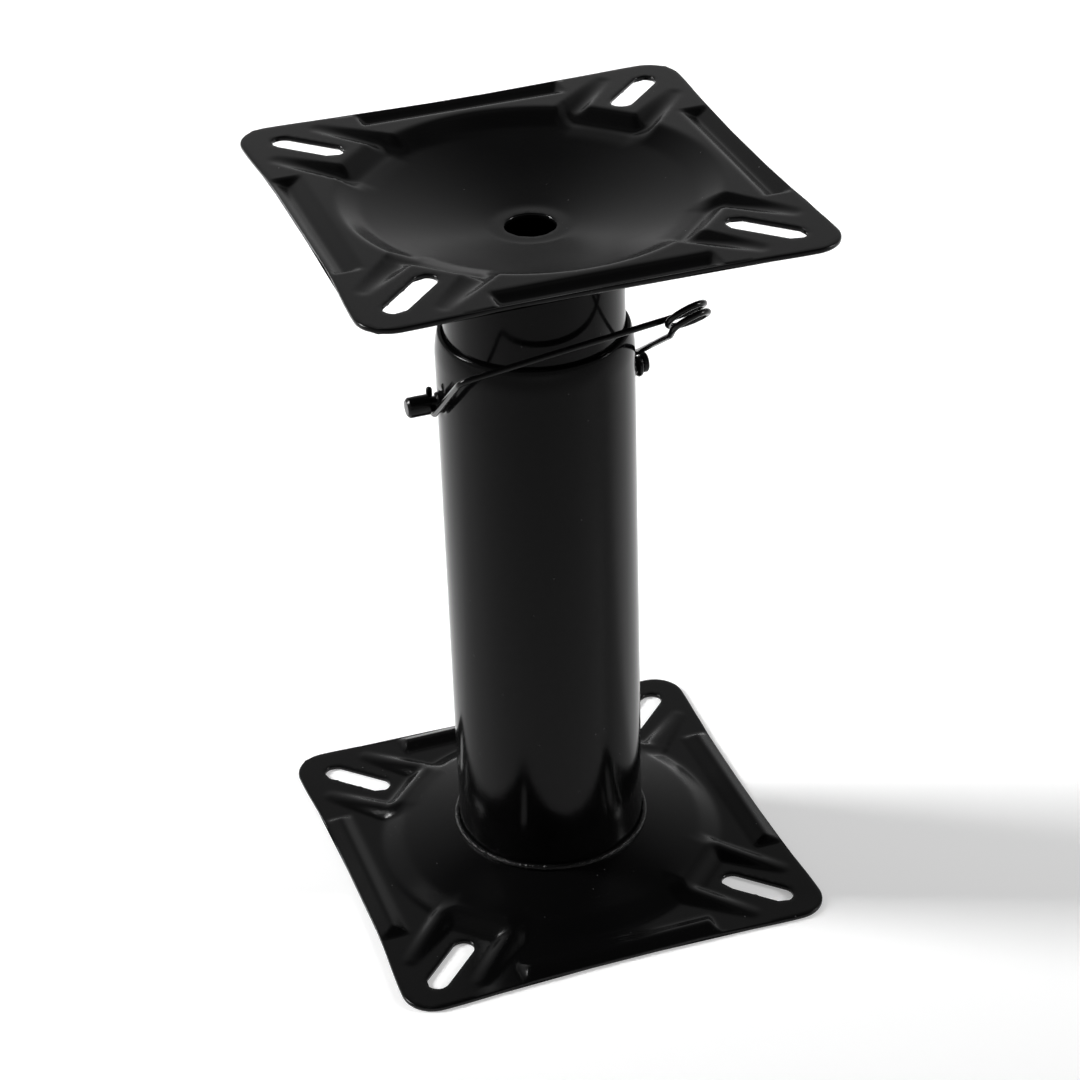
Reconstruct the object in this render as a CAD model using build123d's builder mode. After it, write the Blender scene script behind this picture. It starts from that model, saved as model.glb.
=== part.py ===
from build123d import *
import os
from math import acos, atan, atan2, cos, degrees, hypot, pi, radians, sin, sqrt

# Adjustable seat pedestal: two stamped square plates on telescopic tubes,
# locked by a cross pin that a spring wire clip holds in place.
# X runs along the cross pin, Z is up, the origin is on the floor under the tubes.

# Stamped plates. Both come from one die; the seat plate is turned upside down.
sheet = 2.0
plate_side = 178.0
plate_corner_radius = 13.0
side_draw_in = 2.0
side_straight_length = 60.0
slot_length = 30.5
slot_width = 9.0
slot_edge_distance = 23.2
centre_hole_radius = 9.6

# Sloping ring wall and dome in the middle of a plate
ring_foot_radius = 71.3
ring_height = 4.8
ring_foot_fillet = 8.0
dome_rim_radius = 62.0
dome_rim_slope = 15.8
dome_meridian_radius = 584.0
dome_rim_fillet = 14.0
land_radius = 15.5

# Level shelf that carries the dome's rim out to each corner's pad
shelf_past_ring = 1.2
shelf_width = 40.0
shelf_draft = 50.0

# Two ribs beside each corner slot, fading out towards the corner
rib_offset = 15.5
rib_radius = 6.0
rib_height = 4.1
rib_inside_rim = 2.0
rib_past_slot = 4.0

# Long bead along each side, next to the edge
bead_to_corner = 48.0
bead_width = 10.5
bead_height = 2.6
bead_edge_margin = 0.6
bead_draft = 42.0
bead_corner_radius = 3.0

# Telescopic tubes
outer_tube_radius = 38.0
tube_wall = 2.5
tube_clearance = 0.9
lip_clearance = 0.3
outer_tube_top = 242.0
shoulder_height = 10.0
lip_wall = 1.6
inner_tube_bottom = 26.0
overall_height = 299.5
weld_leg = 2.2
foot_gap = 0.05

# Cross pin and the row of holes that it locks
pin_height = 217.0
pin_radius = 4.0
pin_hole_clearance = 0.2
hole_pitch = 25.0
hole_count = 7
pin_knob_length = 8.8
pin_head_length = 2.2
pin_chamfer = 1.0
groove_radius = 2.7
groove_width = 3.2
groove_to_tube = 1.7

# Spring wire clip
wire_radius = 1.2
wire_play = 0.2
bar_to_tube = 2.7
clip_corner_rise = 28.5
bar_rise_angle = 6.9
clip_bend_radius = 5.0
clip_tilt = 44.0
coil_past_eye = 2.5
coil_radius = 7.6
coil_pitch = 3.5
coil_turns = 1.75
leg_run = 4.0
leg_bend_radius = 8.0
eye_straight = 6.0
hook_tip_length = 5.0
eye_sweep = 285.0

form_depth = 30.0

# Places that follow from the sizes above
slot_offset = plate_side / 2 - slot_edge_distance
slot_reach = slot_offset * sqrt(2)
bead_length = plate_side - 2 * bead_to_corner
inner_tube_radius = outer_tube_radius - tube_wall - tube_clearance


def skin_height(radius):
    """Height of a plate's outer skin above its pads' far face, on the dome."""
    centre_radius = dome_rim_radius - dome_meridian_radius * sin(radians(dome_rim_slope))
    centre_height = sheet + ring_height - dome_meridian_radius * cos(radians(dome_rim_slope))
    return centre_height + sqrt(dome_meridian_radius**2 - (radius - centre_radius) ** 2)


def corner_point(along, across, height, angle):
    """A point given by its distance along and across a plate's diagonal."""
    a = radians(angle)
    return Vector(along * cos(a) - across * sin(a), along * sin(a) + across * cos(a), height)


def stamping_form():
    """Solid whose upper skin is that of a stamped plate, dome up."""
    land_height = skin_height(land_radius)
    middle_radius = (land_radius + dome_rim_radius) / 2
    rim_height = sheet + ring_height
    with BuildPart() as form:
        with BuildSketch(Plane.XZ) as section:
            with BuildLine():
                Polyline((0, -form_depth), (0, land_height), (land_radius, land_height))
                ThreePointArc(
                    (land_radius, land_height),
                    (middle_radius, skin_height(middle_radius)),
                    (dome_rim_radius, rim_height),
                )
                Polyline(
                    (dome_rim_radius, rim_height),
                    (ring_foot_radius, sheet),
                    (plate_side, sheet),
                    (plate_side, -form_depth),
                    (0, -form_depth),
                )
            make_face()
            ring_foot = section.vertices().filter_by_position(Axis.X, ring_foot_radius, ring_foot_radius)
            fillet(ring_foot, ring_foot_fillet)
            dome_rim = section.vertices().filter_by_position(Axis.X, dome_rim_radius, dome_rim_radius)
            fillet(dome_rim, dome_rim_fillet)
        revolve(axis=Axis.Z)
        with BuildSketch(Plane.XY.offset(sheet)):
            with PolarLocations((ring_foot_radius + shelf_past_ring) / 2, 4, start_angle=45):
                Rectangle(ring_foot_radius + shelf_past_ring, shelf_width)
        extrude(amount=ring_height, taper=shelf_draft)
        rib_axis_low = sheet - rib_radius
        for angle in (45, 135, 225, 315):
            for side in (-rib_offset, rib_offset):
                inner = corner_point(dome_rim_radius - rib_inside_rim, side, rib_axis_low + rib_height, angle)
                outer = corner_point(slot_reach + rib_past_slot, side, rib_axis_low, angle)
                run = outer - inner
                with Locations(Plane(origin=inner, z_dir=run)):
                    Cylinder(rib_radius, run.length, align=(Align.CENTER, Align.CENTER, Align.MIN))
        bead_centre = plate_side / 2 - side_draw_in - bead_edge_margin - bead_width / 2
        with BuildSketch(Plane.XY.offset(sheet)):
            with PolarLocations(bead_centre, 4):
                RectangleRounded(bead_width, bead_length, bead_corner_radius)
        extrude(amount=bead_height, taper=bead_draft)
    return form.part


form = stamping_form()


def plate_side_line():
    """One side of a plate's outline and the corner after it, drawn in at the middle."""
    half = plate_side / 2
    drawn = half - side_draw_in
    corner = half - plate_corner_radius
    straight = side_straight_length / 2
    bend = (half - side_draw_in / 2, (corner + straight) / 2)
    along = (0, 1)
    with BuildLine() as side:
        leave_corner = TangentArc((half, -corner), (bend[0], -bend[1]), tangent=along)
        TangentArc(leave_corner @ 1, (drawn, -straight), tangent=leave_corner % 1)
        Line((drawn, -straight), (drawn, straight))
        leave_middle = TangentArc((drawn, straight), bend, tangent=along)
        TangentArc(leave_middle @ 1, (half, corner), tangent=leave_middle % 1)
        TangentArc((half, corner), (corner, half), tangent=along)
    return side.line


def stamped_plate():
    """One plate, dome up, standing on its flat corner pads at the floor plane."""
    side = plate_side_line()
    with BuildPart() as plate:
        with BuildSketch(Plane.XY.offset(-sheet)):
            with BuildLine():
                for turn in range(4):
                    add(side.rotate(Axis.Z, 90 * turn))
            make_face()
            with PolarLocations(slot_reach, 4, start_angle=45):
                SlotOverall(slot_length, slot_width, mode=Mode.SUBTRACT)
            Circle(centre_hole_radius, mode=Mode.SUBTRACT)
        extrude(amount=form_depth)
        add(form, mode=Mode.INTERSECT)
        add(form.moved(Location((0, 0, -sheet))), mode=Mode.SUBTRACT)
    return plate.part


def weld_ring(radius):
    """Fillet weld round a tube of this radius, seated on the dome's skin."""
    low = skin_height(radius + weld_leg) - sheet
    with BuildPart() as ring:
        with BuildSketch(Plane.XZ):
            with BuildLine():
                top = (radius, skin_height(radius) + weld_leg)
                toe = (radius + weld_leg, skin_height(radius + weld_leg))
                Line((radius, low), top)
                SagittaArc(top, toe, -weld_leg / 8)
                Polyline(toe, (radius + weld_leg, low), (radius, low))
            make_face()
        revolve(axis=Axis.Z)
        add(form, mode=Mode.SUBTRACT)
    return ring.part


def turned_over(solid):
    """The same solid upside down, hung from the seat's plane."""
    return solid.rotate(Axis.X, 180).moved(Location((0, 0, overall_height)))


os.makedirs("parts", exist_ok=True)

plate_dome_up = stamped_plate()

with BuildPart() as base_plate:
    add(plate_dome_up)
base_plate.part.label = "base_plate"
export_step(base_plate.part, "parts/base_plate.step")

with BuildPart() as seat_plate:
    add(turned_over(plate_dome_up))
seat_plate.part.label = "seat_plate"
export_step(seat_plate.part, "parts/seat_plate.step")

# Outer tube: square-cut foot on the dome, top rolled in to guide the inner tube
shoulder_start = (outer_tube_radius, outer_tube_top - shoulder_height)
outer_bore_radius = outer_tube_radius - tube_wall
lip_bore_radius = inner_tube_radius + lip_clearance
outer_tube_foot = skin_height(outer_bore_radius) + foot_gap
pin_hole_radius = pin_radius + pin_hole_clearance
with BuildPart() as outer_tube:
    with BuildSketch(Plane.XZ) as wall:
        with BuildLine():
            Line((outer_tube_radius, outer_tube_foot), shoulder_start)
            rolled = TangentArc(shoulder_start, (lip_bore_radius + lip_wall, outer_tube_top), tangent=(0, 1))
            Polyline(
                rolled @ 1,
                (lip_bore_radius, outer_tube_top),
                (lip_bore_radius, outer_tube_top - shoulder_height / 2),
                (outer_bore_radius, outer_tube_top - shoulder_height),
                (outer_bore_radius, outer_tube_foot),
                (outer_tube_radius, outer_tube_foot),
            )
        make_face()
        rim_corners = wall.vertices().group_by(Axis.Y)[-1]
        chamfer(rim_corners, lip_wall * 0.3)
    revolve(axis=Axis.Z)
    with Locations(Plane.YZ.offset(0)):
        with Locations((0, pin_height, 0)):
            Cylinder(pin_hole_radius, 2 * outer_tube_radius + sheet, mode=Mode.SUBTRACT)
outer_tube.part.label = "outer_tube"
export_step(outer_tube.part, "parts/outer_tube.step")

# Inner tube: runs up to the seat plate's dome, with a row of holes for the pin
inner_bore_radius = inner_tube_radius - tube_wall
inner_tube_top = overall_height - skin_height(inner_bore_radius) - foot_gap
with BuildPart() as inner_tube:
    with BuildSketch(Plane.XY.offset(inner_tube_bottom)):
        Circle(inner_tube_radius)
        Circle(inner_bore_radius, mode=Mode.SUBTRACT)
    extrude(amount=inner_tube_top - inner_tube_bottom)
    chamfer(inner_tube.edges().group_by(Axis.Z)[0], tube_wall * 0.2)
    for step in range(hole_count):
        with Locations(Plane.YZ):
            with Locations((0, pin_height - step * hole_pitch, 0)):
                Cylinder(pin_hole_radius, 2 * inner_tube_radius + sheet, mode=Mode.SUBTRACT)
inner_tube.part.label = "inner_tube"
export_step(inner_tube.part, "parts/inner_tube.step")

with BuildPart() as base_weld:
    add(weld_ring(outer_tube_radius))
base_weld.part.label = "base_weld"
export_step(base_weld.part, "parts/base_weld.step")

with BuildPart() as seat_weld:
    add(turned_over(weld_ring(inner_tube_radius)))
seat_weld.part.label = "seat_weld"
export_step(seat_weld.part, "parts/seat_weld.step")

# Cross pin: long knob at the hook's end, short head at the eye's end
groove_inner_x = outer_tube_radius + groove_to_tube
groove_outer_x = groove_inner_x + groove_width
knob_end_x = -(groove_outer_x + pin_knob_length)
head_end_x = groove_outer_x + pin_head_length
with BuildPart() as height_pin:
    with BuildSketch(Plane.XZ):
        with BuildLine():
            Polyline(
                (knob_end_x, 0),
                (knob_end_x, pin_radius - pin_chamfer),
                (knob_end_x + pin_chamfer, pin_radius),
                (-groove_outer_x, pin_radius),
                (-groove_outer_x, groove_radius),
                (-groove_inner_x, groove_radius),
                (-groove_inner_x, pin_radius),
                (groove_inner_x, pin_radius),
                (groove_inner_x, groove_radius),
                (groove_outer_x, groove_radius),
                (groove_outer_x, pin_radius),
                (head_end_x - pin_chamfer / 2, pin_radius),
                (head_end_x, pin_radius - pin_chamfer / 2),
                (head_end_x, 0),
                close=True,
            )
        make_face()
    revolve(axis=Axis.X)
with BuildPart() as height_pin_placed:
    add(height_pin.part.moved(Location((0, 0, pin_height))))
height_pin_placed.part.label = "height_pin"
export_step(height_pin_placed.part, "parts/height_pin.step")


def loop_tangent(point, loop_radius, side):
    """Angle about the pin at which a wire from this point meets the loop, below for 1, above for -1."""
    y, z = point.Y, point.Z - pin_height
    return degrees(atan2(z, y) + side * acos(loop_radius / hypot(y, z)))


def on_loop(x, angle, loop_radius):
    """A point of a loop round the pin, at this angle from the +Y side."""
    a = radians(angle)
    return Vector(x, loop_radius * cos(a), pin_height + loop_radius * sin(a))


# Wire clip: hook, arm, bar, coil, leg and eye, bent from one wire
loop_radius = groove_radius + wire_play + wire_radius
hook_x = -(groove_inner_x + groove_outer_x) / 2
eye_x = -hook_x
bar_slope = radians(bar_rise_angle)
tilt = radians(clip_tilt)
bar_direction = Vector(cos(bar_slope), 0, sin(bar_slope))
outward = Vector(-sin(bar_slope) * sin(tilt), -cos(tilt), cos(bar_slope) * sin(tilt))
down_coil = bar_direction.cross(outward)
lead = atan(coil_pitch / (2 * pi * coil_radius))
coil_axis = down_coil * cos(lead) + bar_direction * sin(lead)
coil_side = bar_direction * cos(lead) - down_coil * sin(lead)
leg_direction = coil_axis * sin(lead) - outward * cos(lead)
coil_exit = (outward - coil_side) * coil_radius + coil_axis * (coil_turns * coil_pitch)
clip_reach = inner_tube_radius + bar_to_tube + wire_radius
arm_corner = Vector(hook_x, -clip_reach, pin_height + clip_corner_rise)
bar_length = (eye_x + coil_past_eye - hook_x) / bar_direction.X
coil_start = arm_corner + bar_direction * bar_length
leg_start = coil_start + coil_exit
leg_bend = leg_start + leg_direction * leg_run
hook_angle = loop_tangent(arm_corner, loop_radius, 1) - 360
eye_angle = loop_tangent(leg_bend, loop_radius, -1)
hook_back = on_loop(hook_x, 0, loop_radius)
hook_front = on_loop(hook_x, hook_angle, loop_radius)
eye_front = on_loop(eye_x, eye_angle, loop_radius)
leg_in_eye_plane = Vector(eye_x, leg_bend.Y, leg_bend.Z)
leg_end = eye_front + (leg_in_eye_plane - eye_front).normalized() * eye_straight
with BuildPart() as wire_clip:
    with BuildLine() as route:
        Line(hook_back + Vector(0, 0, hook_tip_length), hook_back)
        ThreePointArc(hook_back, on_loop(hook_x, hook_angle / 2, loop_radius), hook_front)
        FilletPolyline(hook_front, arm_corner, coil_start, radius=clip_bend_radius)
        turns = Helix(coil_pitch, coil_turns * coil_pitch, coil_radius, mode=Mode.PRIVATE)
        coil_centre = coil_start + outward * coil_radius
        add(turns.moved(Plane(coil_centre, x_dir=-outward, z_dir=coil_axis).location))
        FilletPolyline(leg_start, leg_bend, leg_end, eye_front, radius=leg_bend_radius)
        ThreePointArc(
            eye_front,
            on_loop(eye_x, eye_angle - eye_sweep / 2, loop_radius),
            on_loop(eye_x, eye_angle - eye_sweep, loop_radius),
        )
    with BuildSketch(Plane(origin=route.line @ 0, z_dir=route.line % 0)):
        Circle(wire_radius)
    sweep(path=route.wire())
wire_clip.part.label = "wire_clip"
export_step(wire_clip.part, "parts/wire_clip.step")
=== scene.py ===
from math import acos, asin, atan, atan2, cos, degrees, hypot, pi, radians, sin, sqrt

import bpy
import numpy as np
from mathutils import Matrix, Vector
from mathutils.geometry import delaunay_2d_cdt


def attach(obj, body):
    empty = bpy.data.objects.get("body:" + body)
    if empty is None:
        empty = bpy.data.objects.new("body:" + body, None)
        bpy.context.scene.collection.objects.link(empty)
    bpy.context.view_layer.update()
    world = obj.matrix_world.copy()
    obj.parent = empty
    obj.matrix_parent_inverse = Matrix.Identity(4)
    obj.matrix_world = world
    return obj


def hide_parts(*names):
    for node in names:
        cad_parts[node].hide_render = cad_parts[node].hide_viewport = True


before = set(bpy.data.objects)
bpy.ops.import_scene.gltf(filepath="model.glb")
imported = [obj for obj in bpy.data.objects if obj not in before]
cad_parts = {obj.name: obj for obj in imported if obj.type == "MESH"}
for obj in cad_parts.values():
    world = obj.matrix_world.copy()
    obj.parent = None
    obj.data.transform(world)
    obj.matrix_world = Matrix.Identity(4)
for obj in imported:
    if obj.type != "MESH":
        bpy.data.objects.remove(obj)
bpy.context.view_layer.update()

MM = 0.001

# Sizes of the seat pedestal, in millimetres
SHEET = 2.0
PLATE_SIDE = 178.0
PLATE_CORNER_RADIUS = 13.0
SIDE_DRAW_IN = 2.0
SIDE_STRAIGHT = 60.0
SLOT_LENGTH = 30.5
SLOT_WIDTH = 9.0
SLOT_OFFSET = 65.8
SLOT_REACH = SLOT_OFFSET * sqrt(2)
CENTRE_HOLE_RADIUS = 9.6
RING_FOOT_RADIUS = 71.3
RING_HEIGHT = 4.8
DOME_RIM_RADIUS = 62.0
DOME_RIM_SLOPE = 15.8
DOME_MERIDIAN_RADIUS = 584.0
LAND_RADIUS = 15.5
SHELF_PAST_RING = 1.2
SHELF_WIDTH = 40.0
SHELF_DRAFT = 50.0
RIB_OFFSET = 15.5
RIB_RADIUS = 6.0
RIB_HEIGHT = 4.1
RIB_INSIDE_RIM = 2.0
RIB_PAST_SLOT = 4.0
BEAD_LENGTH = 82.0
BEAD_WIDTH = 10.5
BEAD_HEIGHT = 2.6
BEAD_EDGE_MARGIN = 0.6
BEAD_DRAFT = 42.0
BEAD_CREASE_RADIUS = 0.5
OUTER_TUBE_RADIUS = 38.0
TUBE_WALL = 2.5
INNER_TUBE_RADIUS = 34.6
LIP_CLEARANCE = 0.3
OUTER_TUBE_TOP = 242.0
SHOULDER_HEIGHT = 10.0
LIP_WALL = 1.6
INNER_TUBE_BOTTOM = 26.0
OVERALL_HEIGHT = 299.5
WELD_LEG = 2.2
PIN_HEIGHT = 217.0
PIN_RADIUS = 4.0
PIN_HOLE_CLEARANCE = 0.2
HOLE_PITCH = 25.0
HOLE_COUNT = 7
PIN_KNOB_LENGTH = 8.8
PIN_HEAD_LENGTH = 2.2
PIN_CHAMFER = 1.0
GROOVE_RADIUS = 2.7
GROOVE_WIDTH = 3.2
GROOVE_TO_TUBE = 1.7
WIRE_RADIUS = 1.2
WIRE_PLAY = 0.2
BAR_TO_TUBE = 2.7
CLIP_CORNER_RISE = 28.5
BAR_RISE_ANGLE = 6.9
CLIP_BEND_RADIUS = 5.0
CLIP_TILT = 44.0
COIL_PAST_EYE = 2.5
COIL_RADIUS = 7.6
COIL_PITCH = 3.5
COIL_TURNS = 1.75
LEG_RUN = 4.0
LEG_BEND_RADIUS = 8.0
EYE_STRAIGHT = 6.0
HOOK_TIP_LENGTH = 5.0
EYE_SWEEP = 285.0

# Surface of the welds
WELD_BEAD_RADIUS = 0.6 * WELD_LEG
WELD_UNEVENNESS = 0.45
WELD_LUMP_SIZE = 1.1

# Widths over which the stamping's forms run into each other
CREASE_SOFTNESS = 1.3
PROFILE_BLUR = 0.7 * CREASE_SOFTNESS
SHELF_EDGE_BLEND = 1.7 * CREASE_SOFTNESS
SHELF_FOOT_BLEND = 1.3 * CREASE_SOFTNESS
RIB_BLEND = 1.2 * CREASE_SOFTNESS
BEAD_BLEND = 0.35 * CREASE_SOFTNESS

# Fineness of the meshes
PROFILE_STEP = 0.1
PROFILE_REACH = 140
BLUR_STEPS = 40
PLATE_SPACING = 1.35
BORDER_CLEARANCE = 0.6 * PLATE_SPACING
SIDE_STEPS = 110
CORNER_STEPS = 17
CENTRE_HOLE_STEPS = 72
SLOT_END_STEPS = 15
SLOT_SIDE_STEPS = 16
EDGE_ROUNDING = 0.7
EDGE_STEPS = 3
TUBE_COLUMNS = 240
TUBE_SPACING = 3.0
TUBE_END_MARGIN = 1.6 * SHOULDER_HEIGHT
TUBE_END_SPACING = 1.5
TUBE_END_LEVELS = 16
PIN_HOLE_STEPS = 40
DRILLED_ARC_DEGREES = 12.0
SHOULDER_STEPS = 13
PIN_SIDES = 64
PIN_STEP_DEGREES = 15.0
WIRE_SIDES = 20
WIRE_STEP_DEGREES = 8.0
WIRE_END_STEPS = 5
WELD_RING_STEPS = 1440
WELD_SIDES = 24


# Meshes

def add_piece(name, mesh, body, replaced):
    """A piece from its finished mesh, riding on a body in place of its plain solid."""
    piece = bpy.data.objects.new(name, mesh)
    bpy.context.scene.collection.objects.link(piece)
    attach(piece, body)
    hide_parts(replaced)


def new_piece(name, points, faces, body, material, replaced):
    """A smooth piece from points in millimetres."""
    mesh = bpy.data.meshes.new(name)
    mesh.from_pydata([tuple(p) for p in np.asarray(points) * MM], [], faces)
    mesh.validate()
    mesh.shade_smooth()
    mesh.materials.append(material)
    add_piece(name, mesh, body, replaced)


def merge_close(points, faces):
    """The same mesh with points at one place made one."""
    keys = np.round(np.asarray(points) / 1e-4).astype(np.int64)
    _, first, index = np.unique(keys, axis=0, return_index=True, return_inverse=True)
    index = index.reshape(-1)
    joined = []
    for face in faces:
        ring = [int(index[i]) for i in face]
        ring = [a for a, b in zip(ring, ring[1:] + ring[:1]) if a != b]
        if len(ring) > 2:
            joined.append(ring)
    return np.asarray(points)[first], joined


def left_normals(line, closed):
    """Unit vectors to the left of a line of plane points, where the metal lies."""
    line = np.asarray(line, float)
    if closed:
        along = np.roll(line, -1, axis=0) - np.roll(line, 1, axis=0)
    else:
        along = np.gradient(line, axis=0)
    along /= np.linalg.norm(along, axis=1, keepdims=True)
    return np.column_stack([-along[:, 1], along[:, 0]])


def neighbours(count, closed):
    """Index pairs of the points that follow each other along a line."""
    return [(i, (i + 1) % count) for i in range(count if closed else count - 1)]


def clear_of(points, border, distance):
    """The points that lie farther than a distance from every border point."""
    near = np.full(len(points), np.inf)
    for block in np.array_split(border, max(1, len(border) // 200)):
        gap = np.hypot(points[:, None, 0] - block[None, :, 0], points[:, None, 1] - block[None, :, 1])
        near = np.minimum(near, gap.min(axis=1))
    return points[near > distance]


def edge_profile(thickness):
    """Rows of (share of the inset, share of the wall) round a cut edge, from skin to skin."""
    share = EDGE_ROUNDING / thickness
    turn = np.linspace(0, pi / 2, EDGE_STEPS + 1)
    down = [(1 - sin(t), share * (1 - cos(t))) for t in turn[1:]]
    return down + [(inset, 1 - drop) for inset, drop in reversed(down)]


def sheet_metal(borders, seams, inner_points, is_metal, upper, lower, thickness):
    """A sheet with rounded cut edges: plane shape in, the points and faces of both skins out.

    borders are (line, closed) with the metal on the left; upper and lower place plane points in space."""
    plane, edges, rims = [], [], []
    for line, closed in borders:
        line = np.asarray(line, float)
        normal = left_normals(line, closed)
        start, count = len(plane), len(line)
        plane.extend(line + normal * EDGE_ROUNDING)
        edges.extend((start + i, start + j) for i, j in neighbours(count, closed))
        rims.append((line, normal, closed, start, count))
    border_points = np.asarray(plane)
    for seam in seams:
        start = len(plane)
        plane.extend(seam)
        edges.extend((start + i, start + j) for i, j in neighbours(len(seam), False))
    plane.extend(clear_of(np.asarray(inner_points, float), border_points, BORDER_CLEARANCE))
    corners, _, triangles, origin, _, _ = delaunay_2d_cdt(
        [Vector((float(p[0]), float(p[1]))) for p in plane], edges, [], 0, 1e-6)
    corners = np.array([(c.x, c.y) for c in corners])
    place_of = {source: new for new, sources in enumerate(origin) for source in sources}
    triangles = np.array([t for t in triangles if len(t) == 3])
    middle = corners[triangles].mean(axis=1)
    triangles = triangles[is_metal(middle[:, 0], middle[:, 1])]
    total = len(corners)
    points = [upper(corners[:, 0], corners[:, 1]), lower(corners[:, 0], corners[:, 1])]
    faces = [list(map(int, t)) for t in triangles]
    faces += [[int(i) + total for i in t[::-1]] for t in triangles]
    used = 2 * total
    for line, normal, closed, start, count in rims:
        rings = [[place_of[start + i] for i in range(count)]]
        for inset, drop in edge_profile(thickness):
            flat = line + normal * (EDGE_ROUNDING * inset)
            top, bottom = upper(flat[:, 0], flat[:, 1]), lower(flat[:, 0], flat[:, 1])
            points.append(top * (1 - drop) + bottom * drop)
            rings.append(list(range(used, used + count)))
            used += count
        rings.append([place_of[start + i] + total for i in range(count)])
        for high, low in zip(rings, rings[1:]):
            faces += [[high[j], high[i], low[i], low[j]] for i, j in neighbours(count, closed)]
    return merge_close(np.vstack(points), faces)


def rounded_line(corners, radii, step_degrees=6.0):
    """A line through corner points with each inner corner rounded by its radius."""
    corners = [np.asarray(c, float) for c in corners]
    line = [corners[0]]
    for before, corner, after, radius in zip(corners, corners[1:], corners[2:], radii):
        a = (before - corner) / np.linalg.norm(before - corner)
        b = (after - corner) / np.linalg.norm(after - corner)
        turn = pi - acos(float(np.clip(a @ b, -1, 1)))
        if radius <= 0 or turn < 1e-4:
            line.append(corner)
            continue
        reach = radius * np.tan(turn / 2)
        first = corner + a * reach
        axis = (a + b) / np.linalg.norm(a + b)
        centre = corner + axis * (radius / cos(turn / 2))
        u = (first - centre) / radius
        w = -a
        steps = max(2, int(degrees(turn) / step_degrees) + 1)
        for t in np.linspace(0, turn, steps + 1):
            line.append(centre + radius * (cos(t) * u + sin(t) * w))
    line.append(corners[-1])
    return line


def turned(profile, sides):
    """Points and faces of a closed profile of (radius, distance along) turned round the X axis."""
    profile = np.asarray(profile, float)
    count = len(profile)
    r, x = profile[:, 0], profile[:, 1]
    angles = [2 * pi * i / sides for i in range(sides)]
    points = [np.column_stack([x, r * cos(a), r * sin(a)]) for a in angles]
    faces = []
    for i, j in neighbours(sides, True):
        for k, m in neighbours(count, True):
            faces.append([i * count + k, j * count + k, j * count + m, i * count + m])
    return merge_close(np.vstack(points), faces)


# Stamped plates

def dome_skin(radius):
    """Height of the dome's skin above the far face of the pads."""
    centre_radius = DOME_RIM_RADIUS - DOME_MERIDIAN_RADIUS * sin(radians(DOME_RIM_SLOPE))
    centre_height = SHEET + RING_HEIGHT - DOME_MERIDIAN_RADIUS * cos(radians(DOME_RIM_SLOPE))
    return centre_height + np.sqrt(DOME_MERIDIAN_RADIUS**2 - (radius - centre_radius) ** 2)


def soft_max(a, b, width):
    """The higher of two heights, with the valley between them blended over a width."""
    gap = np.clip(0.5 + 0.5 * (a - b) / width, 0, 1)
    return b + (a - b) * gap + width * gap * (1 - gap)


def soft_min(a, b, width):
    """The lower of two heights, with the ridge between them blended over a width."""
    return -soft_max(-a, -b, width)


def round_profile(radius):
    """Height above the pads of the ring wall, dome and land, with softened creases."""
    grid = np.arange(0, PROFILE_REACH, PROFILE_STEP)
    dome = dome_skin(np.clip(grid, LAND_RADIUS, DOME_RIM_RADIUS))
    fall = np.clip((RING_FOOT_RADIUS - grid) / (RING_FOOT_RADIUS - DOME_RIM_RADIUS), 0, 1)
    height = np.where(grid > DOME_RIM_RADIUS, SHEET + RING_HEIGHT * fall, dome) - SHEET
    reach = np.arange(-BLUR_STEPS, BLUR_STEPS + 1) * PROFILE_STEP
    weight = np.exp(-0.5 * (reach / PROFILE_BLUR) ** 2)
    padded = np.pad(height, BLUR_STEPS, mode="edge")
    height = np.convolve(padded, weight / weight.sum(), mode="valid")
    return np.interp(radius, grid, height)


def on_diagonal(x, y):
    """Distances along the nearest diagonal of a plate and sideways from it."""
    return (np.abs(x) + np.abs(y)) / sqrt(2), (np.abs(y) - np.abs(x)) / sqrt(2)


def corner_shelf(along, across):
    """Level shelf that carries the dome's rim out to a corner's pad."""
    inside = np.minimum(RING_FOOT_RADIUS + SHELF_PAST_RING - along, SHELF_WIDTH / 2 - np.abs(across))
    wall = inside / np.tan(radians(SHELF_DRAFT))
    return soft_min(wall, np.full_like(wall, RING_HEIGHT), SHELF_EDGE_BLEND)


def corner_rib(along, across):
    """Round rib on each side of a corner slot, fading out towards the corner."""
    start, end = DOME_RIM_RADIUS - RIB_INSIDE_RIM, SLOT_REACH + RIB_PAST_SLOT
    crest = RIB_HEIGHT * (1 - np.clip((along - start) / (end - start), 0, 1))
    sideways = np.hypot(np.abs(across) - RIB_OFFSET, np.maximum(along - end, 0))
    return np.sqrt(np.maximum(RIB_RADIUS**2 - sideways**2, 0)) - RIB_RADIUS + crest


def edge_bead(x, y):
    """V-shaped crease along each side, next to the edge."""
    bead_middle = PLATE_SIDE / 2 - SIDE_DRAW_IN - BEAD_EDGE_MARGIN - BEAD_WIDTH / 2
    out, side = np.maximum(np.abs(x), np.abs(y)), np.minimum(np.abs(x), np.abs(y))
    from_crease = np.sqrt((out - bead_middle) ** 2 + BEAD_CREASE_RADIUS**2) - BEAD_CREASE_RADIUS
    fold = BEAD_HEIGHT * (1 - from_crease / (BEAD_WIDTH / 2))
    end_wall = (BEAD_LENGTH / 2 - side) / np.tan(radians(BEAD_DRAFT))
    return soft_min(fold, end_wall, BEAD_BLEND)


def stamped_height(x, y):
    """How far the stamping rises above the pads at each plan point, dome up."""
    along, across = on_diagonal(x, y)
    height = soft_max(round_profile(np.hypot(x, y)), corner_shelf(along, across), SHELF_FOOT_BLEND)
    height = soft_max(height, corner_rib(along, across), RIB_BLEND)
    return soft_max(height, edge_bead(x, y), BEAD_BLEND)


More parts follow.
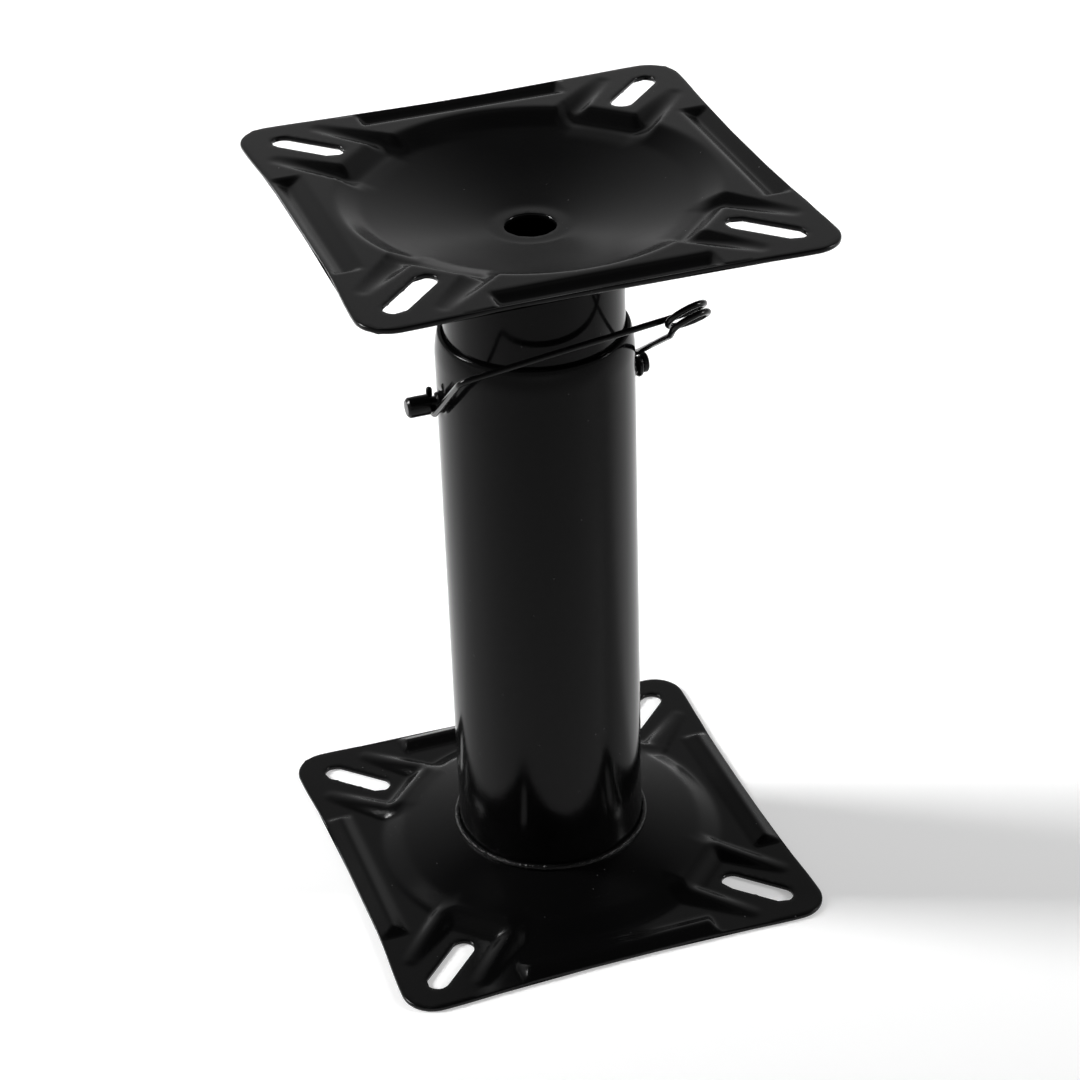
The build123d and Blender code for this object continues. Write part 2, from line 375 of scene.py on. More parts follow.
def side_distance(along):
    """Distance of a plate's side from the middle: the side is drawn in along its bead."""
    half = PLATE_SIDE / 2
    corner = half - PLATE_CORNER_RADIUS
    share = np.clip((corner - np.abs(along)) / (corner - SIDE_STRAIGHT / 2), 0, 1)
    return half - SIDE_DRAW_IN * share * share * (3 - 2 * share)


def plan_turn(angle):
    """Matrix that turns rows of plan points anticlockwise."""
    return np.array([[cos(angle), sin(angle)], [-sin(angle), cos(angle)]])


def plate_outline():
    """Plan of a plate, anticlockwise: rounded corners, sides drawn in along the beads."""
    corner = PLATE_SIDE / 2 - PLATE_CORNER_RADIUS
    rows = [(side_distance(s), s) for s in np.linspace(-corner, corner, SIDE_STEPS)[:-1]]
    for a in np.linspace(0, pi / 2, CORNER_STEPS)[:-1]:
        rows.append((corner + PLATE_CORNER_RADIUS * cos(a), corner + PLATE_CORNER_RADIUS * sin(a)))
    side = np.array(rows)
    return np.vstack([side @ plan_turn(t) for t in np.arange(4) * pi / 2])


def slot_line(angle):
    """A diagonal slot's edge, clockwise, with the metal on its left."""
    end = SLOT_WIDTH / 2
    half = SLOT_LENGTH / 2 - end
    a = np.linspace(-pi / 2, pi / 2, SLOT_END_STEPS)
    straight = np.linspace(half, -half, SLOT_SIDE_STEPS)[1:-1]
    line = [(half + end * cos(t), end * sin(t)) for t in a] + [(s, end) for s in straight]
    line += [(-half - end * cos(t), -end * sin(t)) for t in a] + [(-s, -end) for s in straight]
    line = np.array(line)[::-1]
    line[:, 0] += SLOT_REACH
    return line @ plan_turn(angle)


def circle_line(radius, steps):
    """A round hole's edge, clockwise."""
    a = -np.linspace(0, 2 * pi, steps, endpoint=False)
    return np.column_stack([radius * np.cos(a), radius * np.sin(a)])


def in_slots(x, y):
    """Which plan points lie in a corner slot."""
    along, across = on_diagonal(x, y)
    from_middle = along - SLOT_REACH
    half = SLOT_LENGTH / 2 - SLOT_WIDTH / 2
    return np.hypot(from_middle - np.clip(from_middle, -half, half), across) < SLOT_WIDTH / 2


def in_outline(x, y):
    """Which plan points lie inside the plate's sides and rounded corners."""
    corner = PLATE_SIDE / 2 - PLATE_CORNER_RADIUS
    big, small = np.maximum(np.abs(x), np.abs(y)), np.minimum(np.abs(x), np.abs(y))
    from_corner = np.hypot(big - corner, np.maximum(small - corner, 0))
    return (big < side_distance(small)) & ((big <= corner) | (from_corner < PLATE_CORNER_RADIUS))


def plate_metal(x, y):
    """Which plan points lie on metal."""
    return in_outline(x, y) & ~in_slots(x, y) & (np.hypot(x, y) > CENTRE_HOLE_RADIUS)


def stamped_plate():
    """Points and faces of one plate, dome up, standing at zero height."""
    borders = [(plate_outline(), True), (circle_line(CENTRE_HOLE_RADIUS, CENTRE_HOLE_STEPS), True)]
    borders += [(slot_line(a), True) for a in np.arange(4) * pi / 2 + pi / 4]
    ticks = np.arange(-PLATE_SIDE / 2, PLATE_SIDE / 2, PLATE_SPACING)
    x, y = (g.ravel() for g in np.meshgrid(ticks, ticks))
    shifted = x + (np.round(y / PLATE_SPACING) % 2) * PLATE_SPACING / 2
    keep = plate_metal(shifted, y)
    return sheet_metal(
        borders, [], np.column_stack([shifted[keep], y[keep]]), plate_metal,
        lambda u, v: np.column_stack([u, v, SHEET + stamped_height(u, v)]),
        lambda u, v: np.column_stack([u, v, stamped_height(u, v)]),
        SHEET)


def turned_over(points):
    """A plate's points turned upside down about the X axis, at the column's top."""
    return np.column_stack([points[:, 0], -points[:, 1], OVERALL_HEIGHT - points[:, 2]])


# Tubes

def place_on_tube(outer, inner):
    """Functions from (distance round, distance up) to both skins of a tube, given each skin's profile.

    Near the cross pin both skins keep the same distance from the pin's axis, as in a drilled hole."""
    outer, inner = np.asarray(outer, float), np.asarray(inner, float)

    def travel(profile):
        return np.concatenate([[0], np.cumsum(np.linalg.norm(np.diff(profile, axis=0), axis=1))])

    outer_way, inner_way = travel(outer), travel(inner)
    height = outer_way[-1]
    spare = height - inner_way[-1]
    bend = height - 2 * SHOULDER_HEIGHT

    def skin(profile, way, stretched):
        def place(u, v):
            angle = u / OUTER_TUBE_RADIUS
            if stretched:
                v = np.where(v > bend, bend + (v - bend) * (1 - spare / (height - bend)), v)
            r = np.interp(v, way, profile[:, 0])
            z = np.interp(v, way, profile[:, 1])
            off = (angle + pi / 2) % pi - pi / 2
            weight = np.clip(2 - np.abs(off) / radians(DRILLED_ARC_DEGREES), 0, 1)
            drilled = np.arcsin(np.clip(outer[0, 0] * np.sin(off) / r, -1, 1))
            turn = angle - off + off * (1 - weight) + drilled * weight
            return np.column_stack([r * np.cos(turn), r * np.sin(turn), z])
        return place

    return skin(outer, outer_way, False), skin(inner, inner_way, True), height


def pin_holes(tube_radius, heights, seam_turn):
    """Edges of the cross pin's holes on a tube rolled out flat, and a test for the metal round them."""
    hole = PIN_RADIUS + PIN_HOLE_CLEARANCE
    ring = circle_line(hole, PIN_HOLE_STEPS)
    around = np.arcsin(ring[:, 0] / tube_radius) * OUTER_TUBE_RADIUS
    ring = np.column_stack([around, ring[:, 1]])
    half_round = pi * OUTER_TUBE_RADIUS
    rings = [ring + (side * half_round + seam_turn, z) for z in heights for side in (0, 1)]
    scale = OUTER_TUBE_RADIUS / tube_radius

    def metal(x, y):
        solid = np.ones(len(x), bool)
        for centre in (line.mean(axis=0) for line in rings):
            solid &= np.hypot((x - centre[0]) / scale, y - centre[1]) > hole
        return solid

    return [(line, True) for line in rings], metal


def drilled_tube(outer, inner, hole_heights):
    """Points and faces of a tube between two profiles, with pairs of holes for the cross pin."""
    upper, lower, height = place_on_tube(outer, inner)
    tube_radius, foot = outer[0]
    round_way = 2 * pi * OUTER_TUBE_RADIUS
    u = np.linspace(0, round_way, TUBE_COLUMNS + 1)
    seam_turn = u[TUBE_COLUMNS // 8]
    ends = [(np.column_stack([u, np.zeros(len(u))]), False),
            (np.column_stack([u[::-1], np.full(len(u), height)]), False)]
    holes, metal = pin_holes(tube_radius, [z - foot for z in hole_heights], seam_turn)
    levels = [EDGE_ROUNDING]
    while levels[-1] < height - TUBE_END_MARGIN - TUBE_SPACING:
        levels.append(levels[-1] + TUBE_SPACING)
    levels += list(np.linspace(levels[-1] + TUBE_END_SPACING, height - EDGE_ROUNDING, TUBE_END_LEVELS))
    seams = [np.column_stack([np.full(len(levels), at), levels]) for at in (0, round_way)]
    grid_u, grid_v = (g.ravel() for g in np.meshgrid(u[1:-1], levels[1:-1]))
    keep = metal(grid_u, grid_v)
    return sheet_metal(
        ends + holes, seams, np.column_stack([grid_u[keep], grid_v[keep]]), metal,
        lambda a, b: upper(a - seam_turn, b), lambda a, b: lower(a - seam_turn, b), TUBE_WALL)


def outer_tube_mesh():
    """The fixed tube, its rim rolled in to guide the sliding tube."""
    bore = OUTER_TUBE_RADIUS - TUBE_WALL
    lip_bore = INNER_TUBE_RADIUS + LIP_CLEARANCE
    foot = float(dome_skin(bore))
    shoulder = OUTER_TUBE_TOP - SHOULDER_HEIGHT
    drawn_in = OUTER_TUBE_RADIUS - lip_bore - LIP_WALL
    bend = (SHOULDER_HEIGHT**2 + drawn_in**2) / (2 * drawn_in)
    outer = [(OUTER_TUBE_RADIUS, foot)]
    for t in np.linspace(0, asin(SHOULDER_HEIGHT / bend), SHOULDER_STEPS):
        outer.append((OUTER_TUBE_RADIUS - bend * (1 - cos(t)), shoulder + bend * sin(t)))
    lip_foot = shoulder + SHOULDER_HEIGHT / 2
    inner = rounded_line(
        [(bore, foot), (bore, shoulder), (lip_bore, lip_foot), (lip_bore, OUTER_TUBE_TOP)],
        [SHOULDER_HEIGHT] * 2)
    return drilled_tube(outer, inner, [PIN_HEIGHT])


def inner_tube_mesh():
    """The sliding tube with its row of height holes."""
    bore = INNER_TUBE_RADIUS - TUBE_WALL
    top = OVERALL_HEIGHT - float(dome_skin(bore))
    heights = [PIN_HEIGHT - step * HOLE_PITCH for step in range(HOLE_COUNT)]
    outer, inner = ([(r, INNER_TUBE_BOTTOM), (r, top)] for r in (INNER_TUBE_RADIUS, bore))
    return drilled_tube(outer, inner, heights)


# Cross pin

def pin_profile():
    """Half section of the pin, (radius, distance along): knob, two grooves and head."""
    groove_in = OUTER_TUBE_RADIUS + GROOVE_TO_TUBE
    groove_out = groove_in + GROOVE_WIDTH
    knob = -(groove_out + PIN_KNOB_LENGTH)
    head = groove_out + PIN_HEAD_LENGTH
    r, g, c = PIN_RADIUS, GROOVE_RADIUS, PIN_CHAMFER
    corners = [(0, knob), (r - c, knob), (r, knob + c), (r, -groove_out), (g, -groove_out), (g, -groove_in),
               (r, -groove_in), (r, groove_in), (g, groove_in), (g, groove_out), (r, groove_out),
               (r, head - c / 2), (r - c / 2, head), (0, head)]
    radii = [0.5, 0.5, 0.3, 0.4, 0.4, 0.3, 0.3, 0.4, 0.4, 0.3, 0.25, 0.25]
    return rounded_line(corners, radii, PIN_STEP_DEGREES)


# Wire clip

def on_loop(x, angle, radius):
    """A point of a loop round the pin, by its angle in degrees."""
    a = radians(angle)
    return np.array([x, radius * cos(a), PIN_HEIGHT + radius * sin(a)])


def loop_tangent(point, radius, side):
    """Angle about the pin at which a wire from this point meets the loop, below for 1, above for -1."""
    y, z = point[1], point[2] - PIN_HEIGHT
    return degrees(atan2(z, y) + side * acos(radius / hypot(y, z)))


def clip_route():
    """The wire's middle line: hook, arm, bar, coil, leg and eye."""
    loop = GROOVE_RADIUS + WIRE_PLAY + WIRE_RADIUS
    hook_x = -(OUTER_TUBE_RADIUS + GROOVE_TO_TUBE + GROOVE_WIDTH / 2)
    eye_x = -hook_x
    slope, tilt = radians(BAR_RISE_ANGLE), radians(CLIP_TILT)
    bar = np.array([cos(slope), 0, sin(slope)])
    outward = np.array([-sin(slope) * sin(tilt), -cos(tilt), cos(slope) * sin(tilt)])
    down_coil = np.cross(bar, outward)
    lead = atan(COIL_PITCH / (2 * pi * COIL_RADIUS))
    coil_axis = down_coil * cos(lead) + bar * sin(lead)
    coil_side = bar * cos(lead) - down_coil * sin(lead)
    leg = coil_axis * sin(lead) - outward * cos(lead)
    coil_exit = (outward - coil_side) * COIL_RADIUS + coil_axis * (COIL_TURNS * COIL_PITCH)
    clip_reach = INNER_TUBE_RADIUS + BAR_TO_TUBE + WIRE_RADIUS
    corner = np.array([hook_x, -clip_reach, PIN_HEIGHT + CLIP_CORNER_RISE])
    coil_start = corner + bar * ((eye_x + COIL_PAST_EYE - hook_x) / bar[0])
    leg_start = coil_start + coil_exit
    leg_bend = leg_start + leg * LEG_RUN
    hook_angle = loop_tangent(corner, loop, 1) - 360
    eye_angle = loop_tangent(leg_bend, loop, -1)
    eye_front = on_loop(eye_x, eye_angle, loop)
    back_up = np.array([eye_x, leg_bend[1], leg_bend[2]]) - eye_front
    leg_end = eye_front + back_up / np.linalg.norm(back_up) * EYE_STRAIGHT
    line = [on_loop(hook_x, 0, loop) + (0, 0, HOOK_TIP_LENGTH)]
    line += [on_loop(hook_x, a, loop) for a in np.arange(0, hook_angle, -WIRE_STEP_DEGREES)]
    front = on_loop(hook_x, hook_angle, loop)
    line += rounded_line([front, corner, coil_start], [CLIP_BEND_RADIUS], WIRE_STEP_DEGREES)
    centre = coil_start + outward * COIL_RADIUS
    turns = np.arange(WIRE_STEP_DEGREES, 360 * COIL_TURNS, WIRE_STEP_DEGREES)
    for a in turns:
        t = radians(a)
        swing = coil_side * sin(t) - outward * cos(t)
        line.append(centre + swing * COIL_RADIUS + coil_axis * (COIL_PITCH * a / 360))
    line += rounded_line([leg_start, leg_bend, leg_end, eye_front], [LEG_BEND_RADIUS] * 2, WIRE_STEP_DEGREES)
    sweep = np.arange(WIRE_STEP_DEGREES, EYE_SWEEP, WIRE_STEP_DEGREES)
    line += [on_loop(eye_x, eye_angle - a, loop) for a in sweep]
    return np.array(line)


# Geometry Nodes

def node_tree(name, sizes):
    """A new Geometry Nodes tree with named number inputs and a material input."""
    tree = bpy.data.node_groups.new(name, "GeometryNodeTree")
    tree.interface.new_socket("Geometry", in_out="INPUT", socket_type="NodeSocketGeometry")
    for label, kind in sizes:
        tree.interface.new_socket(label, in_out="INPUT", socket_type=kind)
    tree.interface.new_socket("Material", in_out="INPUT", socket_type="NodeSocketMaterial")
    tree.interface.new_socket("Geometry", in_out="OUTPUT", socket_type="NodeSocketGeometry")
    return tree, tree.nodes.new("NodeGroupInput"), tree.nodes.new("NodeGroupOutput")


def baked(carrier, tree, values, name):
    """The result of a tree on a carrier object, as a plain mesh."""
    modifier = carrier.modifiers.new(tree.name, "NODES")
    modifier.node_group = tree
    for item in tree.interface.items_tree:
        if item.in_out == "INPUT" and item.name in values:
            modifier[item.identifier] = values[item.name]
    bpy.context.view_layer.update()
    evaluated = carrier.evaluated_get(bpy.context.evaluated_depsgraph_get())
    mesh = bpy.data.meshes.new_from_object(evaluated)
    carrier.modifiers.remove(modifier)
    bpy.data.objects.remove(carrier)
    mesh.name = name
    return mesh


def end_tree(tree, given, result, path, section, capped):
    """Sweeps a section along a path at the path's own radius, then smooths and paints the sweep."""
    link = tree.links.new
    sweep = tree.nodes.new("GeometryNodeCurveToMesh")
    sweep.inputs["Fill Caps"].default_value = capped
    radius = tree.nodes.new("GeometryNodeInputRadius")
    smooth = tree.nodes.new("GeometryNodeSetShadeSmooth")
    real = tree.nodes.new("GeometryNodeRealizeInstances")
    paint = tree.nodes.new("GeometryNodeSetMaterial")
    link(path, sweep.inputs["Curve"])
    link(section.outputs["Curve"], sweep.inputs["Profile Curve"])
    link(radius.outputs["Radius"], sweep.inputs["Scale"])
    link(sweep.outputs["Mesh"], smooth.inputs["Geometry"])
    link(smooth.outputs["Geometry"], real.inputs["Geometry"])
    link(real.outputs["Geometry"], paint.inputs["Geometry"])
    link(given.outputs["Material"], paint.inputs["Material"])
    link(paint.outputs["Geometry"], result.inputs["Geometry"])
    return tree


def wire_tree():
    """Wire along a route, round in section."""
    tree, given, result = node_tree("Bent wire", [
        ("Wire Radius", "NodeSocketFloat"), ("Sides", "NodeSocketInt")])
    section = tree.nodes.new("GeometryNodeCurvePrimitiveCircle")
    tree.links.new(given.outputs["Wire Radius"], section.inputs["Radius"])
    tree.links.new(given.outputs["Sides"], section.inputs["Resolution"])
    return end_tree(tree, given, result, given.outputs["Geometry"], section, True)


def rounded_end(tip, beside):
    """Points and radius shares that close a wire in a dome at its tip, from the tip inwards."""
    outward = tip - beside
    outward /= np.linalg.norm(outward)
    turns = np.linspace(0.2, pi / 2, WIRE_END_STEPS)
    return [(tip + outward * WIRE_RADIUS * (cos(t) - 1), sin(t)) for t in turns]


def wire_piece(name, route, body, material, replaced):
    """A piece of bent wire along a route in millimetres."""
    curve = bpy.data.curves.new(name + "_route", "CURVE")
    curve.dimensions = "3D"
    spline = curve.splines.new("POLY")
    head, tail = rounded_end(route[0], route[1]), rounded_end(route[-1], route[-2])[::-1]
    rows = head + [(p, 1.0) for p in route[1:-1]] + tail
    spline.points.add(len(rows) - 1)
    for point, (place, share) in zip(spline.points, rows):
        point.co = (*(place * MM), 1)
        point.radius = share
    carrier = bpy.data.objects.new(name + "_route", curve)
    bpy.context.scene.collection.objects.link(carrier)
    mesh = baked(carrier, wire_tree(), {
        "Wire Radius": WIRE_RADIUS * MM, "Sides": WIRE_SIDES, "Material": material}, name)
    add_piece(name, mesh, body, replaced)


def tree_maths(tree, operation, **values):
    """A Math node with some of its inputs set, by their place: first, second or third."""
    node = tree.nodes.new("ShaderNodeMath")
    node.operation = operation
    for place, value in values.items():
        node.inputs[("first", "second", "third").index(place)].default_value = value
    return node


def weld_tree():
    """A ring of weld: a round bead whose thickness swells and shrinks by noise."""
    tree, given, result = node_tree("Weld ring", [
        ("Ring Radius", "NodeSocketFloat"), ("Bead Radius", "NodeSocketFloat"),
        ("Unevenness", "NodeSocketFloat"), ("Lump Size", "NodeSocketFloat")])
    link = tree.links.new
    ring = tree.nodes.new("GeometryNodeCurvePrimitiveCircle")
    ring.inputs["Resolution"].default_value = WELD_RING_STEPS
    section = tree.nodes.new("GeometryNodeCurvePrimitiveCircle")
    section.inputs["Resolution"].default_value = WELD_SIDES
    thickness = tree.nodes.new("GeometryNodeSetCurveRadius")
    place = tree.nodes.new("GeometryNodeInputPosition")
    lumps = tree.nodes.new("ShaderNodeTexNoise")
    fineness = tree_maths(tree, "DIVIDE", first=1.0)
    centred = tree_maths(tree, "SUBTRACT", second=0.5)
    swell = tree_maths(tree, "MULTIPLY_ADD", third=1.0)
    link(given.outputs["Ring Radius"], ring.inputs["Radius"])
    link(given.outputs["Bead Radius"], section.inputs["Radius"])
    link(given.outputs["Lump Size"], fineness.inputs[1])
    link(place.outputs["Position"], lumps.inputs["Vector"])
    link(fineness.outputs[0], lumps.inputs["Scale"])
    link(lumps.outputs["Fac"], centred.inputs[0])
    link(centred.outputs[0], swell.inputs[0])
    link(given.outputs["Unevenness"], swell.inputs[1])
    link(ring.outputs["Curve"], thickness.inputs["Curve"])
    link(swell.outputs[0], thickness.inputs["Radius"])
    return end_tree(tree, given, result, thickness.outputs["Curve"], section, False)


def weld_piece(name, tube_radius, body, material, upside_down, replaced):
    """A ring of weld in the corner between a tube and the dome of a plate."""
    ring_radius = tube_radius + WELD_LEG - WELD_BEAD_RADIUS
    height = float(dome_skin(tube_radius + WELD_LEG)) + WELD_LEG - WELD_BEAD_RADIUS
    if upside_down:
        height = OVERALL_HEIGHT - height
    carrier = bpy.data.objects.new(name + "_carrier", bpy.data.meshes.new(name + "_carrier"))
    bpy.context.scene.collection.objects.link(carrier)
    mesh = baked(carrier, weld_tree(), {
        "Ring Radius": ring_radius * MM, "Bead Radius": WELD_BEAD_RADIUS * MM,
        "Unevenness": WELD_UNEVENNESS, "Lump Size": WELD_LUMP_SIZE * MM, "Material": material}, name)
    mesh.transform(Matrix.Translation((0, 0, height * MM)))
    add_piece(name, mesh, body, replaced)


# Finishes

COAT_IOR = 1.5
PATCH_SCALE = 28.0
PATCH_GLOSSIEST = 0.8
PATCH_DULLEST = 1.25
SPECK_SCALE = 260.0
SPECK_CORE = 0.05
SPECK_EDGE = 0.11
SPECK_SHARE = 0.07
SPECK_COLOUR = (0.05, 0.05, 0.05, 1)
GRAIN_SCALE = 2400.0


def noise(nodes, scale, detail):
    """A noise texture, its scale in lumps per metre."""
    texture = nodes.new("ShaderNodeTexNoise")
    texture.inputs["Scale"].default_value = scale
    texture.inputs["Detail"].default_value = detail
    return texture


def map_range(nodes, start, end, low, high):
    """A node that turns start..end into low..high."""
    node = nodes.new("ShaderNodeMapRange")
    for label, value in (("From Min", start), ("From Max", end), ("To Min", low), ("To Max", high)):
        node.inputs[label].default_value = value
    return node


def bump(nodes, height):
    """Bump of a height in millimetres."""
    node = nodes.new("ShaderNodeBump")
    node.inputs["Strength"].default_value = 1.0
    node.inputs["Distance"].default_value = height * MM
    return node


def new_material(name):
    """A material with its nodes, its link function and its shader."""
    material = bpy.data.materials.new(name)
    material.use_nodes = True
    tree = material.node_tree
    return material, tree, tree.nodes, tree.links.new, tree.nodes["Principled BSDF"]


def coat_material(name, colour, gloss_level, roughness, peel_size, peel_height, grain_height):
    """Gloss black coating: soft unevenness, faint orange peel and a few dust specks."""
    material, tree, nodes, link, shader = new_material(name)
    shader.inputs["IOR"].default_value = COAT_IOR
    shader.inputs["Specular IOR Level"].default_value = gloss_level
    place = nodes.new("ShaderNodeTexCoord")
    patches = noise(nodes, PATCH_SCALE, 4.0)
    gloss = map_range(nodes, 0.3, 0.7, roughness * PATCH_GLOSSIEST, roughness * PATCH_DULLEST)
    specks = nodes.new("ShaderNodeTexVoronoi")
    specks.inputs["Scale"].default_value = SPECK_SCALE
    near = map_range(nodes, SPECK_CORE, SPECK_EDGE, 1.0, 0.0)
    pick = nodes.new("ShaderNodeSeparateColor")
    chosen = tree_maths(tree, "GREATER_THAN", second=1 - SPECK_SHARE)
    dusty = tree_maths(tree, "MULTIPLY")
    tint = nodes.new("ShaderNodeMix")
    tint.data_type = "RGBA"
    tint.inputs["A"].default_value = (*colour, 1)
    tint.inputs["B"].default_value = SPECK_COLOUR
    peel, peel_bump = noise(nodes, 1 / (peel_size * MM), 2.0), bump(nodes, peel_height)
    grain, grain_bump = noise(nodes, GRAIN_SCALE, 3.0), bump(nodes, grain_height)
    for texture in (patches, specks, peel, grain):
        link(place.outputs["Object"], texture.inputs["Vector"])
    link(patches.outputs["Fac"], gloss.inputs["Value"])
    link(gloss.outputs["Result"], shader.inputs["Roughness"])
    link(specks.outputs["Distance"], near.inputs["Value"])
    link(specks.outputs["Color"], pick.inputs["Color"])
    link(pick.outputs["Red"], chosen.inputs[0])
    link(near.outputs["Result"], dusty.inputs[0])
    link(chosen.outputs[0], dusty.inputs[1])
    link(dusty.outputs[0], tint.inputs["Factor"])
    link(tint.outputs["Result"], shader.inputs["Base Color"])
    link(peel.outputs["Fac"], peel_bump.inputs["Height"])
    link(grain.outputs["Fac"], grain_bump.inputs["Height"])
    link(peel_bump.outputs["Normal"], grain_bump.inputs["Normal"])
    link(grain_bump.outputs["Normal"], shader.inputs["Normal"])
    return material


# The pedestal

coat = coat_material(
    "gloss_black_coat", (0.0025, 0.0025, 0.0026), gloss_level=0.2, roughness=0.19,
    peel_size=3.2, peel_height=0.010, grain_height=0.0005)
tube_coat = coat_material(
    "gloss_black_tube_coat", (0.0022, 0.0022, 0.0023), gloss_level=0.11, roughness=0.13,
    peel_size=6.0, peel_height=0.010, grain_height=0.0004)
weld_coat = coat_material(
    "coated_weld", (0.004, 0.004, 0.004), gloss_level=0.2, roughness=0.12,
    peel_size=0.9, peel_height=0.45, grain_height=0.02)
pin_coat = coat_material(
    "coated_pin", (0.003, 0.003, 0.0031), gloss_level=0.2, roughness=0.2,
    peel_size=1.5, peel_height=0.01, grain_height=0.001)
wire_coat = coat_material(
    "coated_wire", (0.0025, 0.0025, 0.0026), gloss_level=0.2, roughness=0.16,
    peel_size=1.2, peel_height=0.006, grain_height=0.0006)

plate_points, plate_faces = stamped_plate()
pin_points, pin_faces = turned(pin_profile(), PIN_SIDES)
pin_points[:, 2] += PIN_HEIGHT
for name, points, faces, body, finish, replaced in (
        ("base_plate_sheet", plate_points, plate_faces, "stand", coat, "base_plate"),
        ("seat_plate_sheet", turned_over(plate_points), plate_faces, "seat_post", coat, "seat_plate"),
        ("outer_tube_wall", *outer_tube_mesh(), "stand", tube_coat, "outer_tube"),
        ("inner_tube_wall", *inner_tube_mesh(), "seat_post", tube_coat, "inner_tube"),
        ("height_pin_turned", pin_points, pin_faces, "stand", pin_coat, "height_pin")):
    new_piece(name, points, faces, body, finish, replaced)
weld_piece("base_weld_bead", OUTER_TUBE_RADIUS, "stand", weld_coat, False, "base_weld")
weld_piece("seat_weld_bead", INNER_TUBE_RADIUS, "seat_post", weld_coat, True, "seat_weld")
wire_piece("wire_clip_wire", clip_route(), "clip", wire_coat, "wire_clip")

# Camera, at the photograph's viewing angle

CAMERA_AZIMUTH = -18.299
CAMERA_ELEVATION = 32.069
CAMERA_ROLL = -2.022
CAMERA_DISTANCE = 1118.7
CAMERA_FOCAL = 95.31
AIM = np.array([0.0, 0.0, 160.0])
AIM_RIGHT = 0.15
AIM_UP = 11.48

az, el, roll = radians(CAMERA_AZIMUTH), radians(CAMERA_ELEVATION), radians(CAMERA_ROLL)
forward = np.array([-sin(az) * cos(el), cos(az) * cos(el), -sin(el)])
level = np.array([cos(az), sin(az), 0.0])
steep = np.cross(level, forward)
right = cos(roll) * level + sin(roll) * steep
up = -sin(roll) * level + cos(roll) * steep
eye = AIM - AIM_RIGHT * right - AIM_UP * up - CAMERA_DISTANCE * forward
camera_data = bpy.data.cameras.new("camera")
camera_data.lens = CAMERA_FOCAL
camera_data.sensor_width = 36.0
camera_data.clip_end = 50.0
camera = bpy.data.objects.new("camera", camera_data)
turn = Matrix([[right[i], up[i], -forward[i]] for i in range(3)]).to_4x4()
camera.matrix_world = Matrix.Translation(Vector(eye * MM)) @ turn
bpy.context.scene.collection.objects.link(camera)
bpy.context.scene.camera = camera

# Floor, lamps and world

FLOOR_COLOUR = (0.88, 0.88, 0.88, 1)
FLOOR_ROUGHNESS = 0.9
FLOOR_LIFT = 0.3
FLOOR_REACH = 12.0


def floor_material():
    """Pale matt floor, a little lighter to the eye and in reflections than the lamps make it."""
    material, tree, nodes, link, shader = new_material("pale_floor")
    shader.inputs["Base Color"].default_value = FLOOR_COLOUR
    shader.inputs["Roughness"].default_value = FLOOR_ROUGHNESS
    shader.inputs["Specular IOR Level"].default_value = 0.0
    shader.inputs["Emission Color"].default_value = (1, 1, 1, 1)
    ray = nodes.new("ShaderNodeLightPath")
    seen, through = tree_maths(tree, "ADD"), tree_maths(tree, "ADD")
    lift = tree_maths(tree, "MULTIPLY", second=FLOOR_LIFT)
    link(ray.outputs["Is Camera Ray"], seen.inputs[0])
    link(ray.outputs["Is Glossy Ray"], seen.inputs[1])
    link(seen.outputs[0], through.inputs[0])
    link(ray.outputs["Is Transmission Ray"], through.inputs[1])
    link(through.outputs[0], lift.inputs[0])
    link(lift.outputs[0], shader.inputs["Emission Strength"])
    return material


floor_mesh = bpy.data.meshes.new("floor")
floor_corners = [(x * FLOOR_REACH, y * FLOOR_REACH, 0) for x, y in ((-1, -1), (1, -1), (1, 1), (-1, 1))]
floor_mesh.from_pydata(floor_corners, [], [(0, 1, 2, 3)])
floor_mesh.materials.append(floor_material())
floor = bpy.data.objects.new("floor", floor_mesh)
bpy.context.scene.collection.objects.link(floor)


def lamp(name, place, target, width, height, radiance, spread):
    """A rectangular lamp in metres, as bright as its radiance whatever its size."""
    data = bpy.data.lights.new(name, "AREA")
    data.shape = "RECTANGLE"
    data.size = width
    data.size_y = height
    data.energy = radiance * pi * width * height
    data.spread = radians(spread)
    light = bpy.data.objects.new(name, data)
    aim = Vector(target) - Vector(place)
    turn = aim.to_track_quat("-Z", "Y").to_matrix().to_4x4()
    light.matrix_world = Matrix.Translation(Vector(place)) @ turn
    bpy.context.scene.collection.objects.link(light)


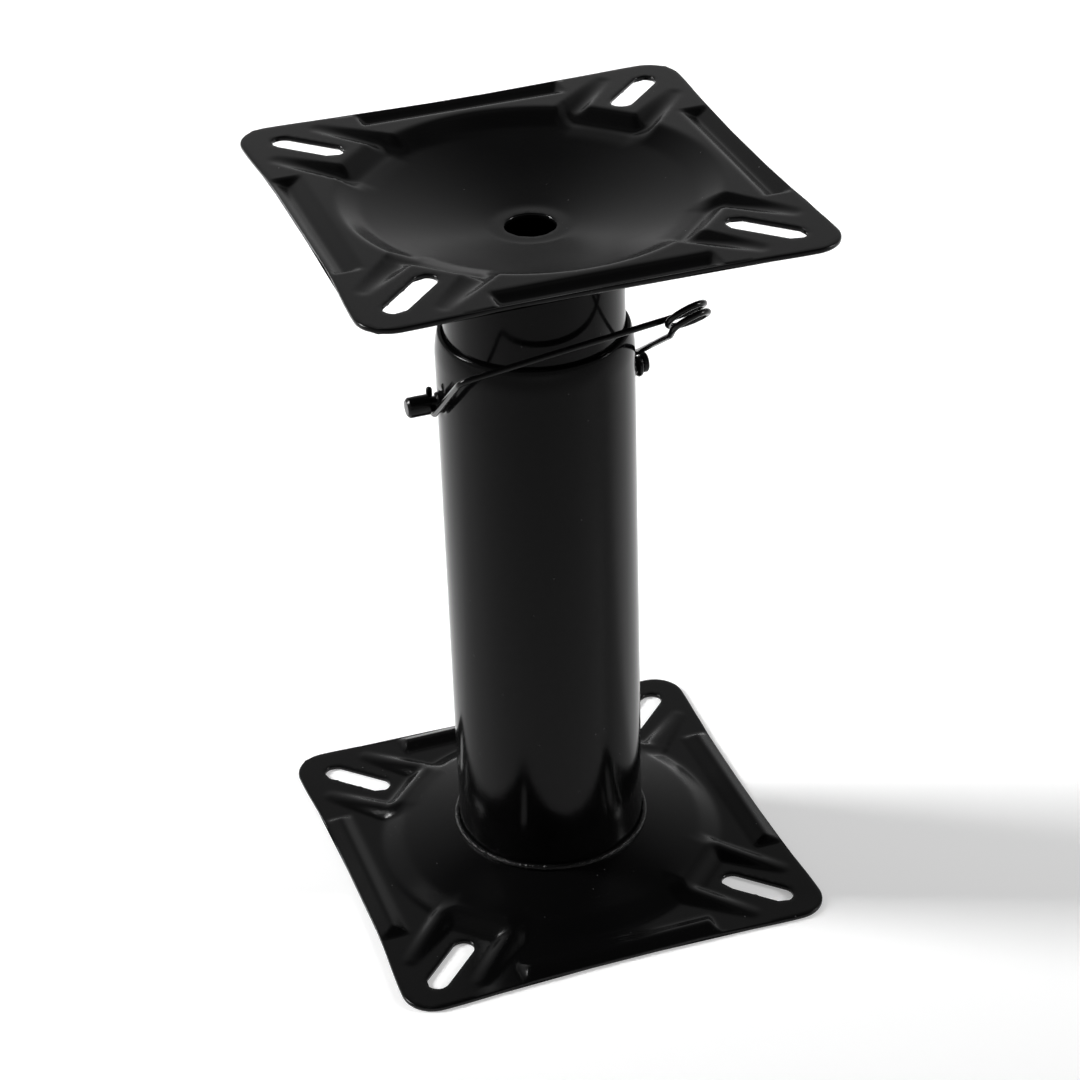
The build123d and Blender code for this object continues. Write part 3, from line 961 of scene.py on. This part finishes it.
lamp("soft_left", (-1.62, 0.84, 1.3), (0.1, 0.3, 0), 0.42, 0.8, radiance=7.6, spread=64)
lamp("soft_right", (1.85, -0.65, 0.95), (0.1, 0.45, 0), 0.22, 0.55, radiance=7.0, spread=54)
lamp("floor_wash_near", (0.45, 1.6, 2.2), (0.45, 1.6, 0), 0.8, 0.8, radiance=2.8, spread=62)
for side, x, y in (("back", 0.8, 3.6), ("front", -0.6, -3.5), ("left", -3.5, 0.2), ("right", 3.5, 0.2)):
    lamp("floor_wash_" + side, (x, y, 4.0), (x, y, 0), 1.2, 1.2, radiance=3.0, spread=70)

# The room's brightness by height above the horizon, towards the back and towards the front
BACK_LEVELS = [
    (0.0, 0.9), (0.12, 0.62), (0.25, 0.45), (0.53, 0.36), (0.7, 0.24), (0.8, 0.03), (0.84, 0.05),
    (0.89, 0.2), (0.93, 0.15), (0.965, 0.02), (1.0, 0.0)]
FRONT_LEVELS = [(0.0, 0.34), (0.3, 0.3), (0.6, 0.2), (0.8, 0.03), (1.0, 0.0)]
TOWARDS_BACK = (0.314, 0.949, 0.0)
BLEND_START, BLEND_END = -0.2, 0.95


def height_ramp(nodes, levels):
    """Grey levels by height above the horizon."""
    ramp = nodes.new("ShaderNodeValToRGB")
    elements = ramp.color_ramp.elements
    for position, _ in levels[1:-1]:
        elements.new(position)
    for element, (position, grey) in zip(elements, levels):
        element.position = position
        element.color = (grey, grey, grey, 1)
    return ramp


world = bpy.data.worlds.new("studio")
world.use_nodes = True
bpy.context.scene.world = world
nodes, link = world.node_tree.nodes, world.node_tree.links.new
direction = nodes.new("ShaderNodeTexCoord")
split = nodes.new("ShaderNodeSeparateXYZ")
facing_back = nodes.new("ShaderNodeVectorMath")
facing_back.operation = "DOT_PRODUCT"
facing_back.inputs[1].default_value = TOWARDS_BACK
blend = map_range(nodes, BLEND_START, BLEND_END, 0.0, 1.0)
blend.interpolation_type = "SMOOTHSTEP"
room = nodes.new("ShaderNodeMix")
room.data_type = "RGBA"
background = nodes["Background"]
background.inputs["Strength"].default_value = 1.0
link(direction.outputs["Generated"], split.inputs["Vector"])
link(direction.outputs["Generated"], facing_back.inputs[0])
link(facing_back.outputs["Value"], blend.inputs["Value"])
link(blend.outputs["Result"], room.inputs["Factor"])
for side, levels in (("A", FRONT_LEVELS), ("B", BACK_LEVELS)):
    ramp = height_ramp(nodes, levels)
    link(split.outputs["Z"], ramp.inputs["Fac"])
    link(ramp.outputs["Color"], room.inputs[side])
link(room.outputs["Result"], background.inputs["Color"])

bpy.context.scene.view_settings.view_transform = "Standard"
